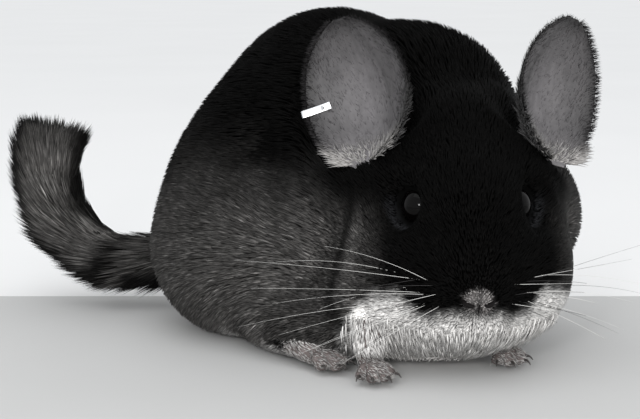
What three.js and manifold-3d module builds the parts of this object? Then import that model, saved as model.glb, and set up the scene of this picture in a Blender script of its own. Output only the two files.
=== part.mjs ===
// A life-size chinchilla of the black velvet kind, crouching with its head turned to its right
// and its brush of a tail curled up behind. Units are millimetres, +Z is up and -Y is forward.
// The solids reach out to the tips of the coat.
import * as THREE from "three";
import { mergeVertices } from "three/addons/utils/BufferGeometryUtils.js";
import Module from "manifold-3d";

const wasm = await Module();
wasm.setup();

// Driving dimensions
const GAP = 0.3; // between neighbouring pieces
const HEAD_YAW = -37; // degrees, the head's turn to its right
const HEAD_AT = new THREE.Vector3(10.5, -75.7, 0); // below the point midway between the eyes
const EYE_RADIUS = 7.8;
const EYE_OPENING = [20.6, 1.6, 62.7]; // centre of the left eye's opening, in the head's frame
const EYE_FACING = [0.83, -0.55, 0.1];
const EYE_SUNK = 3.8; // from the opening to the eyeball's centre
const EAR_FOOT = [39.4, 21, 75];
const EAR_TIP = [47.3, 36, 133.3];
const EAR_YAW = 43; // degrees, how far an ear opens outwards
const EAR_WIDTHS = { inner: 26, outer: 25 }; // half widths on both sides of its midline
const EAR_THICKNESS = { middle: 1.5, rim: 0.9 };
const EAR_CUP = { foot: 17, tip: 8, lean: 3 };
const EAR_HOLLOW = { along: 0.62, behind: 8, radii: [30, 13, 37], blend: 6 }; // the coat lies low behind an ear
const TAG = { along: 0.44, rise: 0.11, length: 8.2, width: 2.9, thickness: 0.6, pin: 0.7 };

// Ellipsoids that blend into the body: [centre, radii, yaw in degrees, blend with the ones before]
const TRUNK = [
  [[38, 33.5, 65.5], [55.5, 65, 70], -4, 0],
  [[17, 47, 50], [55, 38, 49], -14, 26],
  [[-20, 24, 31], [33, 46, 36], 14, 20],
  [[62, 16, 31], [33, 46, 36], -12, 20],
  [[2, -14, 15], [45, 40, 16.5], -10, 14],
  [[-27, -19, 10], [15, 25, 13], 6, 10],
  [[63, -25, 10], [15, 25, 13], -12, 10],
];
const NECK = [
  [[40, -17, 79], [46, 35, 51], -30, 0],
  [[35, -34, 50], [62.5, 33, 43], -30, 20],
  [[15, -60.5, 27], [46, 33, 25], -34, 18],
];
const HEAD = [
  [[0, 31, 66], [43, 33, 40], 0, 0],
  [[0, 4, 58], [25, 29, 27], 0, 18],
  [[-20, 14, 42], [22, 26, 23], 0, 14],
  [[20, 14, 42], [22, 26, 23], 0, 14],
  [[0, -12, 41], [18.5, 18, 15], 0, 13],
  [[0, -24, 34.5], [7, 6, 6.5], 0, 7],
  [[0, -3, 29], [19, 17, 12], 0, 10],
];
const HEAD_BOUNDS = { centre: [0, 0, 58], radii: [52, 45, 68] }; // what the head's node takes in
const NECK_BLEND = 24;
const HEAD_BLEND = 19;
const SOCKET = { radius: 9.5, proud: 0.2, blend: 6 };

// Haunches are parted from the torso along ellipsoids: [centre, radii, yaw]
const HAUNCHES = {
  right: [[-25, 22, 28], [30, 48, 40], 14],
  left: [[67, 14, 28], [30, 48, 40], -12],
};

// The tail's midline, its coat radius at each point, and its locks
const TAIL_PATH = [
  [4, 74, 26],
  [-24, 90, 20],
  [-40, 105, 21.5],
  [-51, 118, 32],
  [-57, 123.5, 48],
  [-59, 124, 60],
  [-58, 123, 70],
];
const TAIL_COAT = [15, 15.5, 17, 18.5, 19, 19, 18];
const TAIL_CORE = 0.46; // share of the coat radius
const TAIL_CUTS = [0.36, 0.66];
const LOCKS = { rings: 9, round: 8, length: 29, width: 10, thickness: 2.8, sunk: 3 };
const BRUSH = { locks: 15, length: 30, spread: 30 };

const rad = THREE.MathUtils.degToRad;
const v3 = (a) => new THREE.Vector3(...a);

// The head's frame: x to its left, y backwards, z up.
const headMatrix = new THREE.Matrix4().makeRotationZ(rad(HEAD_YAW)).setPosition(HEAD_AT);
const inHead = (a) => v3(a).applyMatrix4(headMatrix);
const turnedInHead = (a) => v3(a).transformDirection(headMatrix);

// A repeatable stream of numbers from 0 to 1
let seed = 77;
function draw() {
  seed = (seed * 1664525 + 1013904223) % 4294967296;
  return seed / 4294967296;
}
const vary = (share) => 1 + share * (2 * draw() - 1);

// Solids and meshes
function solidOf(geometry) {
  const g = geometry.clone();
  for (const name of Object.keys(g.attributes)) if (name !== "position") g.deleteAttribute(name);
  const merged = mergeVertices(g, 1e-4);
  const triVerts = new Uint32Array(merged.index.array);
  const vertProperties = new Float32Array(merged.attributes.position.array);
  const solid = new wasm.Manifold(new wasm.Mesh({ numProp: 3, vertProperties, triVerts }));
  if (solid.volume() > 0) return solid;
  triVerts.reverse();
  return new wasm.Manifold(new wasm.Mesh({ numProp: 3, vertProperties, triVerts }));
}

function geometryOf(solid) {
  const mesh = solid.getMesh();
  const g = new THREE.BufferGeometry();
  g.setAttribute("position", new THREE.BufferAttribute(new Float32Array(mesh.vertProperties), 3));
  g.setIndex(new THREE.BufferAttribute(new Uint32Array(mesh.triVerts), 1));
  g.computeVertexNormals();
  return g;
}

const joined = (solids) => solids.reduce((all, one) => all.add(one));
// The outermost closed surface of the largest piece, once close points have been merged
function largest(solid) {
  const outermost = (all) => all.decompose().sort((a, b) => b.volume() - a.volume())[0];
  return outermost(solidOf(geometryOf(outermost(solid))));
}

// A large block whose face passes through a point; it covers the side that the normal points to.
function beyond(point, normal) {
  const size = 600;
  const n = normal.clone().normalize();
  const g = new THREE.BoxGeometry(size, size, size);
  g.applyQuaternion(new THREE.Quaternion().setFromUnitVectors(new THREE.Vector3(0, 0, 1), n));
  const at = point.clone().addScaledVector(n, size / 2);
  return solidOf(g.translate(at.x, at.y, at.z));
}
const floor = beyond(new THREE.Vector3(), new THREE.Vector3(0, 0, -1));

// Distances: negative inside
function ellipsoidField([centre, radii, yaw], frame) {
  const at = frame ? inHead(centre) : v3(centre);
  const turn = rad(yaw + (frame ? HEAD_YAW : 0));
  const [c, s] = [Math.cos(turn), Math.sin(turn)];
  return (x, y, z) => {
    const [dx, dy, dz] = [x - at.x, y - at.y, z - at.z];
    const [u, v] = [c * dx + s * dy, c * dy - s * dx];
    const k0 = Math.hypot(u / radii[0], v / radii[1], dz / radii[2]);
    const k1 = Math.hypot(u / radii[0] ** 2, v / radii[1] ** 2, dz / radii[2] ** 2) + 1e-9;
    return (k0 * (k0 - 1)) / k1;
  };
}

function smoothMin(a, b, k) {
  const h = Math.max(k - Math.abs(a - b), 0) / k;
  return Math.min(a, b) - (h * h * k) / 4;
}

function blended(list, frame) {
  const fields = list.map((one) => ellipsoidField(one, frame));
  return (x, y, z) =>
    fields.reduce((d, field, i) => (i ? smoothMin(d, field(x, y, z), list[i][3]) : field(x, y, z)), 0);
}

// The left ear's own directions in the head's frame
const earAxis = v3(EAR_TIP).sub(v3(EAR_FOOT));
const earAlong = earAxis.clone().normalize();
const earAcross = new THREE.Vector3(Math.cos(rad(EAR_YAW)), Math.sin(rad(EAR_YAW)), 0.05);
earAcross.addScaledVector(earAlong, -earAcross.dot(earAlong)).normalize();
const earFront = new THREE.Vector3().crossVectors(earAcross, earAlong).normalize();
if (earFront.y > 0) earFront.negate();
const hollowAt = v3(EAR_FOOT).addScaledVector(earAxis, EAR_HOLLOW.along).addScaledVector(earFront, -EAR_HOLLOW.behind);
const toHead = headMatrix.clone().invert();

// An ellipsoid that holds an ear and the space behind it
function hollowField(side, x, y, z) {
  const q = new THREE.Vector3(x, y, z).applyMatrix4(toHead);
  q.x *= side;
  q.sub(hollowAt);
  const parts = [earAcross, earFront, earAlong].map((axis) => q.dot(axis));
  const k0 = Math.hypot(...parts.map((n, i) => n / EAR_HOLLOW.radii[i]));
  const k1 = Math.hypot(...parts.map((n, i) => n / EAR_HOLLOW.radii[i] ** 2)) + 1e-9;
  return (k0 * (k0 - 1)) / k1;
}

const sides = { right: -1, left: 1 };
const trunkField = blended(TRUNK, false);
const neckField = blended(NECK, false);
const headField = blended(HEAD, true);
const mirrored = (a, side) => [a[0] * side, a[1], a[2]];
const eyeOpening = (side) => inHead(mirrored(EYE_OPENING, side));
const eyeFacing = (side) => turnedInHead(mirrored(EYE_FACING, side)).normalize();
const sockets = Object.values(sides).map((side) =>
  eyeOpening(side).addScaledVector(eyeFacing(side), SOCKET.radius - SOCKET.proud),
);

// The whole coat: trunk, neck and head run into one another, with a shallow hollow round each eye.
function bodyField(x, y, z) {
  let d = smoothMin(trunkField(x, y, z), neckField(x, y, z), NECK_BLEND);
  d = smoothMin(d, headField(x, y, z), HEAD_BLEND);
  for (const side of Object.values(sides)) d = -smoothMin(-d, hollowField(side, x, y, z), EAR_HOLLOW.blend);
  for (const s of sockets) {
    const hollow = SOCKET.radius - Math.hypot(x - s.x, y - s.y, z - s.z);
    d = -smoothMin(-d, -hollow, SOCKET.blend);
  }
  return d;
}

// The surface of a field as seen from a point inside it: each direction of a divided icosahedron
// is followed out to where the field reaches the wanted level.
function shell(field, centre, detail, level = 0) {
  const g = new THREE.IcosahedronGeometry(1, detail);
  const p = g.attributes.position;
  const [step, halvings] = [3, 14];
  const found = new Map();
  for (let i = 0; i < p.count; i++) {
    const d = new THREE.Vector3().fromBufferAttribute(p, i).normalize();
    const key = d.toArray().map((n) => n.toFixed(5)).join();
    if (!found.has(key)) {
      const at = (t) => field(centre.x + d.x * t, centre.y + d.y * t, centre.z + d.z * t) - level;
      let far = step;
      while (at(far) < 0) far += step;
      let near = far - step;
      for (let n = 0; n < halvings; n++) {
        const middle = (near + far) / 2;
        if (at(middle) < 0) near = middle;
        else far = middle;
      }
      found.set(key, d.multiplyScalar(near).add(centre));
    }
    p.setXYZ(i, ...found.get(key).toArray());
  }
  return solidOf(g);
}

// A closed tube through points, with an oval section at each: radii are [across, thick], and a
// last radius of zero makes a tip. The section's thick side faces along up.
function sweep(points, radii, sidesRound, up) {
  const rings = points.length;
  const sharp = radii[rings - 1][0] === 0;
  const vertices = [];
  const last = sharp ? rings - 1 : rings;
  for (let i = 0; i < last; i++) {
    const before = points[Math.max(i - 1, 0)];
    const after = points[Math.min(i + 1, rings - 1)];
    const along = after.clone().sub(before).normalize();
    const across = new THREE.Vector3().crossVectors(along, up).normalize();
    const out = new THREE.Vector3().crossVectors(across, along);
    for (let j = 0; j < sidesRound; j++) {
      const a = (j / sidesRound) * 2 * Math.PI;
      const at = points[i].clone().addScaledVector(across, radii[i][0] * Math.cos(a));
      vertices.push(at.addScaledVector(out, radii[i][1] * Math.sin(a)));
    }
  }
  const first = vertices.push(points[0].clone()) - 1;
  const end = vertices.push(points[rings - 1].clone()) - 1;
  const index = [];
  for (let j = 0; j < sidesRound; j++) {
    const k = (j + 1) % sidesRound;
    index.push(first, j, k);
    for (let i = 0; i + 1 < last; i++) {
      const [a, b] = [i * sidesRound, (i + 1) * sidesRound];
      index.push(a + j, b + j, a + k, a + k, b + j, b + k);
    }
    index.push(end, (last - 1) * sidesRound + k, (last - 1) * sidesRound + j);
  }
  const g = new THREE.BufferGeometry().setFromPoints(vertices);
  g.setIndex(index);
  return solidOf(g);
}

function ball(centre, radius, width = 24) {
  const g = new THREE.SphereGeometry(radius, width, Math.round(width / 2));
  return solidOf(g.translate(centre.x, centre.y, centre.z));
}

function ovalBall([centre, radii, yaw], grown = 0, width = 22) {
  const g = new THREE.SphereGeometry(1, width, Math.round(width / 2));
  g.scale(...radii.map((r) => r + grown)).rotateZ(rad(yaw)).translate(...centre);
  return solidOf(g);
}

// Head
const headCentre = inHead([0, 10, 50]);
const headBounds = (grown) => {
  const { centre, radii } = HEAD_BOUNDS;
  return ovalBall([inHead(centre).toArray(), radii, HEAD_YAW], grown, 32);
};

// The line of the mouth: a shallow groove round the muzzle, under the nose.
function mouthLine() {
  const points = [];
  const [steps, halfAngle] = [10, 62];
  for (let i = 0; i <= steps; i++) {
    const a = rad(halfAngle * ((2 * i) / steps - 1));
    points.push(inHead([17.6 * Math.sin(a), -4.5 - 18.5 * Math.cos(a), 25.6 + 4.5 * Math.sin(a) ** 2]));
  }
  return sweep(points, points.map(() => [1.3, 1.0]), 6, new THREE.Vector3(0, 0, 1));
}

// Each nostril is a slanted comma, and the cleft below the nose joins them to the mouth.
function nostril(side) {
  const points = [[1.8, -30.2, 31.6], [3.4, -29.6, 31.9], [5.2, -27.6, 33.0]].map((a) => inHead(mirrored(a, side)));
  return sweep(points, [[0.7, 0.6], [1.5, 1.1], [0.8, 0.7]], 8, new THREE.Vector3(0, 0, 1));
}
function cleft() {
  const points = [[0, -30.6, 31.4], [0, -28.4, 28.4], [0, -24.6, 25.4]].map(inHead);
  return sweep(points, points.map(() => [0.6, 1.1]), 6, turnedInHead([0, -1, 0]));
}

// A lid is a ring of oval section round the eye's opening, pressed against the eyeball.
function lids(side) {
  const g = new THREE.TorusGeometry(6.9, 1.5, 6, 20);
  g.applyQuaternion(new THREE.Quaternion().setFromUnitVectors(new THREE.Vector3(0, 0, 1), eyeFacing(side)));
  const at = eyeOpening(side).addScaledVector(eyeFacing(side), -1.4);
  return solidOf(g.translate(at.x, at.y, at.z));
}
const eyeCentre = (side) => eyeOpening(side).addScaledVector(eyeFacing(side), -EYE_SUNK);

const pieces = {};
const seenFrom = {
  head: { centre: headCentre, detail: 11 },
  neck: { centre: new THREE.Vector3(26, -36, 52), detail: 8 },
  torso: { centre: new THREE.Vector3(20, 24, 56), detail: 8 },
};
const coatOf = ({ centre, detail }, level = 0) => shell(bodyField, centre, detail, level);
let head = coatOf(seenFrom.head);
for (const [name, side] of Object.entries(sides)) {
  pieces["eye_" + name] = ball(eyeCentre(side), EYE_RADIUS, 18);
  head = head.add(lids(side)).subtract(ball(eyeCentre(side), EYE_RADIUS + GAP, 18)).subtract(nostril(side));
}
head = head.subtract(mouthLine()).subtract(cleft()).intersect(headBounds(0));
pieces.head = largest(head);

// Neck and torso, each cut from the same coat
const cutBehindNeck = { at: new THREE.Vector3(26, -22, 60), normal: v3([0.2, 1, -0.16]) };
pieces.neck = largest(
  coatOf(seenFrom.neck).subtract(headBounds(GAP)).subtract(beyond(cutBehindNeck.at, cutBehindNeck.normal)).subtract(floor),
);
const beforeTorso = beyond(
  cutBehindNeck.at.clone().addScaledVector(cutBehindNeck.normal.clone().normalize(), GAP),
  cutBehindNeck.normal.clone().negate(),
);
let torso = coatOf(seenFrom.torso).subtract(beforeTorso).subtract(floor);
for (const [name, haunch] of Object.entries(HAUNCHES)) {
  pieces["thigh_" + name] = largest(torso.intersect(ovalBall(haunch)));
  torso = torso.subtract(ovalBall(haunch, GAP));
}

// Legs. Toes and claws fan out from a paw: each toe is [sideways degrees, length, thickness].
function paw(wrist, heading, toes, height) {
  const solids = [];
  for (const [fan, length, thick] of toes) {
    const a = rad(heading + fan);
    const along = new THREE.Vector3(Math.sin(a), -Math.cos(a), 0);
    const point = (t, z) => wrist.clone().addScaledVector(along, t * length).setZ(z);
    const path = [point(0, height), point(0.45, height * 0.95), point(0.78, height * 0.72), point(1, thick * 0.8)];
    const radii = [[thick, thick], [thick, thick * 0.95], [thick * 1.05, thick], [thick * 0.8, thick * 0.8]];
    solids.push(sweep(path, radii, 6, new THREE.Vector3(0, 0, 1)));
    const claw = [point(0.9, thick * 1.1), point(1.08, thick * 1.0), point(1.2, thick * 0.35)];
    solids.push(sweep(claw, [[0.9, 0.8], [0.8, 0.7], [0.3, 0.3]], 5, new THREE.Vector3(0, 0, 1)));
  }
  return joined(solids);
}
const FORE_TOES = [[-38, 10, 1.9], [-12, 12.5, 2.0], [14, 12.5, 2.0], [42, 10, 1.9]];
const HIND_TOES = [[-26, 12, 2.2], [-2, 15, 2.5], [22, 14, 2.4]];
const FORE = {
  right: { shoulder: [-16, -50, 26], wrist: [-27.5, -62.5, 6.5], heading: -26 },
  left: { shoulder: [31, -66, 26], wrist: [25.5, -79.5, 6.5], heading: -12 },
};
const HIND = {
  right: { hock: [-33, -4, 9], wrist: [-34.5, -37, 5], heading: 4 },
  left: { hock: [66, -6, 9], wrist: [66, -40, 5], heading: -12 },
};
const clearOfCoat = joined(Object.values(seenFrom).map((view) => coatOf(view, GAP)));
for (const name of Object.keys(sides)) {
  const fore = FORE[name];
  const forePath = [v3(fore.shoulder), v3(fore.shoulder).lerp(v3(fore.wrist), 0.55), v3(fore.wrist)];
  const foreLeg = sweep(forePath, [[9, 9], [7, 6.5], [4.6, 4.2]], 10, new THREE.Vector3(0, 0, 1));
  const forePaw = paw(v3(fore.wrist), fore.heading, FORE_TOES, 4.4);
  pieces["fore_leg_" + name] = largest(foreLeg.add(forePaw).subtract(clearOfCoat).subtract(floor));
  const hind = HIND[name];
  const hindPath = [v3(hind.hock), v3(hind.hock).lerp(v3(hind.wrist), 0.6), v3(hind.wrist)];
  const hindFoot = sweep(hindPath, [[7, 8], [6.6, 6.2], [5.6, 4.2]], 12, new THREE.Vector3(0, 0, 1));
  const hindPaw = paw(v3(hind.wrist), hind.heading, HIND_TOES, 4.2);
  pieces["hind_foot_" + name] = largest(hindFoot.add(hindPaw).subtract(clearOfCoat).subtract(floor));
}

// Ears: u runs from foot to tip and w from the inner edge, -1, to the outer edge, 1. The blade is
// a cup whose edges come forward, and lift moves a point off its middle surface.
function earPoint(side, u, w, lift = 0) {
  const round = Math.max(1 - Math.abs(2 * u - 1) ** 2.1, 0) ** 0.65;
  const half = (w < 0 ? EAR_WIDTHS.inner : EAR_WIDTHS.outer) * round;
  const bulge = Math.sin(Math.PI * u);
  const cup = (EAR_CUP.foot + (EAR_CUP.tip - EAR_CUP.foot) * u) * Math.max(bulge, 0) ** 0.6;
  const p = v3(EAR_FOOT).addScaledVector(earAxis, u).addScaledVector(earAcross, half * w);
  p.addScaledVector(earFront, lift - cup * (1 - w * w) - EAR_CUP.lean * bulge);
  return inHead([p.x * side, p.y, p.z]);
}

// A closed blade: the front and back surfaces share their outline.
function ear(side) {
  const [rows, columns] = [13, 10];
  const vertices = [];
  const layer = (face) => {
    const grid = [];
    for (let i = 1; i < rows; i++) {
      const row = [];
      for (let j = 0; j <= columns; j++) {
        const w = -Math.cos((Math.PI * j) / columns);
        const thick = THREE.MathUtils.lerp(EAR_THICKNESS.rim, EAR_THICKNESS.middle, 1 - w * w) / 2;
        row.push(vertices.push(earPoint(side, i / rows, w, face * thick)) - 1);
      }
      grid.push(row);
    }
    return grid;
  };
  const [front, back] = [layer(1), layer(-1)];
  const foot = vertices.push(earPoint(side, 0.02, 0)) - 1;
  const tip = vertices.push(earPoint(side, 0.99, 0)) - 1;
  const index = [];
  const quad = (a, b, c, d) => index.push(a, b, c, a, c, d);
  for (let i = 0; i + 1 < front.length; i++) {
    for (let j = 0; j < columns; j++) {
      quad(front[i][j], front[i][j + 1], front[i + 1][j + 1], front[i + 1][j]);
      quad(back[i][j], back[i + 1][j], back[i + 1][j + 1], back[i][j + 1]);
    }
    quad(front[i][0], front[i + 1][0], back[i + 1][0], back[i][0]);
    quad(front[i][columns], back[i][columns], back[i + 1][columns], front[i + 1][columns]);
  }
  const [bottom, top] = [0, front.length - 1];
  for (let j = 0; j < columns; j++) {
    index.push(foot, front[bottom][j + 1], front[bottom][j], foot, back[bottom][j], back[bottom][j + 1]);
    index.push(tip, front[top][j], front[top][j + 1], tip, back[top][j + 1], back[top][j]);
  }
  index.push(foot, front[bottom][0], back[bottom][0], foot, back[bottom][columns], front[bottom][columns]);
  index.push(tip, back[top][0], front[top][0], tip, front[top][columns], back[top][columns]);
  const g = new THREE.BufferGeometry().setFromPoints(vertices);
  g.setIndex(index);
  return solidOf(g);
}

// The ear tag: a strip folded over the right ear's outer edge, with a pin through the ear.
const tagSide = sides.right;
const tagEdge = 1.02;
const tagInner = tagEdge - TAG.length / EAR_WIDTHS.outer;
const tagLift = EAR_THICKNESS.middle / 2 + GAP + TAG.thickness / 2;
function tag() {
  const along = earPoint(tagSide, TAG.along + 0.02, 0.8).sub(earPoint(tagSide, TAG.along - 0.02, 0.8)).normalize();
  const legs = [0, 0.33, 0.66, 1].map((t) => THREE.MathUtils.lerp(tagInner, tagEdge, t));
  const place = (w, lift) => earPoint(tagSide, TAG.along + TAG.rise * (tagEdge - w), w, lift);
  const path = legs.map((w) => place(w, tagLift));
  path.push(place(tagEdge + 0.05, 0));
  for (const w of [...legs].reverse()) path.push(place(w, -tagLift));
  const half = [TAG.thickness / 2, TAG.width / 2].map((n) => n * Math.SQRT2);
  return sweepSquare(path, half, along);
}

// A strip of rectangular section: a sweep of four sides, turned by half a side.
function sweepSquare(path, half, width) {
  const vertices = [];
  const corners = [[1, 1], [1, -1], [-1, -1], [-1, 1]];
  path.forEach((point, i) => {
    const next = path[Math.min(i + 1, path.length - 1)];
    const along = next.clone().sub(path[Math.max(i - 1, 0)]).normalize();
    const thick = new THREE.Vector3().crossVectors(along, width).normalize();
    const wide = new THREE.Vector3().crossVectors(thick, along);
    for (const [a, b] of corners) {
      const at = point.clone().addScaledVector(thick, (a * half[0]) / Math.SQRT2);
      vertices.push(at.addScaledVector(wide, (b * half[1]) / Math.SQRT2));
    }
  });
  const index = [0, 1, 2, 0, 2, 3];
  for (let i = 0; i + 1 < path.length; i++)
    for (let j = 0; j < 4; j++) {
      const [a, b, k] = [4 * i, 4 * i + 4, (j + 1) % 4];
      index.push(a + j, b + j, a + k, a + k, b + j, b + k);
    }
  const e = 4 * (path.length - 1);
  index.push(e, e + 2, e + 1, e, e + 3, e + 2);
  const g = new THREE.BufferGeometry().setFromPoints(vertices);
  g.setIndex(index);
  return solidOf(g);
}
function pinAlong(radius, reach) {
  const w = tagInner + 0.11;
  const u = TAG.along + TAG.rise * (tagEdge - w);
  const [from, to] = [earPoint(tagSide, u, w, -reach), earPoint(tagSide, u, w, reach)];
  const up = new THREE.Vector3(0, 0, 1);
  return sweep([from, from.clone().lerp(to, 0.5), to], [[radius, radius], [radius, radius], [radius, radius]], 12, up);
}
for (const [name, side] of Object.entries(sides)) {
  let blade = ear(side).subtract(clearOfCoat);
  if (side === tagSide) blade = blade.subtract(pinAlong(TAG.pin + GAP, 4));
  pieces["ear_" + name] = largest(blade);
}
pieces.ear_tag = tag().add(pinAlong(TAG.pin, tagLift + 0.5));

// Tail: a core along the midline with overlapping locks rooted on it, cut into three lengths.
const tailLine = new THREE.CatmullRomCurve3(TAIL_PATH.map(v3), false, "centripetal");
function coatRadius(t) {
  const at = t * (TAIL_COAT.length - 1);
  const i = Math.min(Math.floor(at), TAIL_COAT.length - 2);
  return THREE.MathUtils.lerp(TAIL_COAT[i], TAIL_COAT[i + 1], at - i);
}
const tailSide = new THREE.Vector3(0.77, -0.64, 0); // across the plane in which the tail curls
function tailFrame(t) {
  const along = tailLine.getTangent(t);
  const out = new THREE.Vector3().crossVectors(along, tailSide).normalize();
  const across = new THREE.Vector3().crossVectors(out, along).normalize();
  return { at: tailLine.getPoint(t), along, out, across };
}

// A lock starts at the core, leans out until it lies along the coat, and ends in a point.
function lock(t, angle, length, width, lean) {
  const f = tailFrame(t);
  const away = f.across.clone().multiplyScalar(Math.cos(angle)).addScaledVector(f.out, Math.sin(angle));
  const start = coatRadius(t) * TAIL_CORE - LOCKS.sunk;
  const rise = coatRadius(t) - start;
  const stations = [0, 0.3, 0.62, 1];
  const points = stations.map((s) => {
    const later = tailFrame(Math.min(t + (s * length * 0.45) / 125, 1));
    const bent = later.across.clone().multiplyScalar(Math.cos(angle)).addScaledVector(later.out, Math.sin(angle));
    const lift = start + rise * (1 - (1 - s) ** 1.6) * lean;
    return f.at.clone().lerp(later.at, 1).addScaledVector(later.along, s * length * 0.5).addScaledVector(bent, lift);
  });
  const radii = [[0.5, 0.6], [0.5, 0.5], [0.36, 0.32], [0, 0]].map(([a, b]) => [a * width, b * LOCKS.thickness]);
  return sweep(points, radii, 4, away);
}

const coreSteps = 10;
const corePoints = [];
const coreRadii = [];
for (let i = 0; i <= coreSteps; i++) {
  const t = i / coreSteps;
  const r = coatRadius(t) * TAIL_CORE * (i === coreSteps ? 0.6 : 1);
  corePoints.push(tailLine.getPoint(t));
  coreRadii.push([r, r]);
}
let tail = [sweep(corePoints, coreRadii, 8, tailSide)];
for (let ring = 0; ring < LOCKS.rings; ring++) {
  const t = 0.06 + (0.9 * ring) / (LOCKS.rings - 1);
  for (let k = 0; k < LOCKS.round; k++) {
    const angle = ((k + (ring % 2) / 2) / LOCKS.round) * 2 * Math.PI + 0.12 * (draw() - 0.5);
    tail.push(lock(t, angle, LOCKS.length * vary(0.12), LOCKS.width * vary(0.1), vary(0.07)));
  }
}

// The brush at the end fans out from the core's tip.
const end = tailFrame(1);
for (let k = 0; k < BRUSH.locks; k++) {
  const share = Math.sqrt(k / BRUSH.locks);
  const angle = k * rad(137.5);
  const tilt = rad(BRUSH.spread * share);
  const away = end.across.clone().multiplyScalar(Math.cos(angle)).addScaledVector(end.out, Math.sin(angle));
  const along = end.along.clone().multiplyScalar(Math.cos(tilt)).addScaledVector(away, Math.sin(tilt));
  const from = end.at.clone().addScaledVector(end.along, -8).addScaledVector(away, 6 * share);
  const length = BRUSH.length * vary(0.14);
  const points = [0, 0.35, 0.7, 1].map((s) => from.clone().addScaledVector(along, s * length));
  const radii = [[0.5, 0.8], [0.62, 0.8], [0.44, 0.6], [0, 0]].map(([a, b]) => [a * LOCKS.width, b * LOCKS.thickness]);
  tail.push(sweep(points, radii, 4, away));
}
let tailLeft = joined(tail).subtract(floor);
tailLeft = tailLeft.subtract(clearOfCoat);
["base", "middle"].forEach((name, i) => {
  const cut = tailFrame(TAIL_CUTS[i]);
  const after = beyond(cut.at, cut.along);
  const near = ball(cut.at, 46);
  pieces["tail_" + name] = largest(tailLeft.subtract(after.intersect(near)));
  const before = beyond(cut.at.clone().addScaledVector(cut.along, GAP), cut.along.clone().negate());
  tailLeft = largest(tailLeft.subtract(before));
});
pieces.tail_end = tailLeft;
pieces.torso = largest(torso);

// Colours: [colour, roughness, metalness]
const LOOKS = {
  black: [0x121214, 0.85, 0],
  grey: [0x4a4a4c, 0.85, 0],
  pale: [0xb9b4ad, 0.8, 0],
  ear: [0x77747a, 0.7, 0],
  eye: [0x050506, 0.08, 0],
  metal: [0xc9cacc, 0.3, 1],
};
const lookOf = (name) => {
  if (name === "ear_tag") return LOOKS.metal;
  if (name.startsWith("ear")) return LOOKS.ear;
  if (name.startsWith("eye")) return LOOKS.eye;
  if (/leg|foot/.test(name)) return LOOKS.pale;
  return /tail|thigh/.test(name) ? LOOKS.grey : LOOKS.black;
};

const chinchilla = new THREE.Group();
for (const [name, solid] of Object.entries(pieces)) {
  const [color, roughness, metalness] = lookOf(name);
  const material = new THREE.MeshStandardMaterial({ color, roughness, metalness });
  const mesh = new THREE.Mesh(geometryOf(solid), material);
  mesh.name = name;
  chinchilla.add(mesh);
}

// The origin is the middle of the footprint, on the floor.
const around = new THREE.Box3().setFromObject(chinchilla);
const middle = around.getCenter(new THREE.Vector3());
chinchilla.position.set(-middle.x, -middle.y, -around.min.z);

export default chinchilla;
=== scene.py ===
"""The render's model of the chinchilla: one skin under a coat of mesh tufts, with its eyes, ears, feet, claws,
whiskers and ear tag. Shapes are worked out in millimetres in part.mjs's own frame and shifted into the row frame."""
import math
import bpy
import numpy as np
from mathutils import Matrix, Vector


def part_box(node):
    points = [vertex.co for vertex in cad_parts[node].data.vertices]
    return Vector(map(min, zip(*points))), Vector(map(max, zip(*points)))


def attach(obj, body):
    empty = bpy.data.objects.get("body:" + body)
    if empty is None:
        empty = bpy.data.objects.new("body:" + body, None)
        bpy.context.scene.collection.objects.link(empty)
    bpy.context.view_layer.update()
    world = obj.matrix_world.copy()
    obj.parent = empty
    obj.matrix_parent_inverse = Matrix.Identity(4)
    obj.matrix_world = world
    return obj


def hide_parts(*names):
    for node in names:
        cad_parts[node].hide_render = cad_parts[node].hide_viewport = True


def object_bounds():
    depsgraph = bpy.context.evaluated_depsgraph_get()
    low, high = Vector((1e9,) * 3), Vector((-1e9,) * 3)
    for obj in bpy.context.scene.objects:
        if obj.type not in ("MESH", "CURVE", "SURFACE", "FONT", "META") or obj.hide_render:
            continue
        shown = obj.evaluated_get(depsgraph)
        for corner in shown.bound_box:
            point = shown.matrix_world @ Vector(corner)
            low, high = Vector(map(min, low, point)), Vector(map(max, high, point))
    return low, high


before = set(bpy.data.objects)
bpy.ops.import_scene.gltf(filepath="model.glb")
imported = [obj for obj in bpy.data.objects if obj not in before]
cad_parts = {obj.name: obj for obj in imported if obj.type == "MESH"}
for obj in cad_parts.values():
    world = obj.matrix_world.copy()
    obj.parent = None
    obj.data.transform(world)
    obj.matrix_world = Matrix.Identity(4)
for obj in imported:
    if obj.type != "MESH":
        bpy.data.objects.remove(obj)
cad_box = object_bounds()

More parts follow.
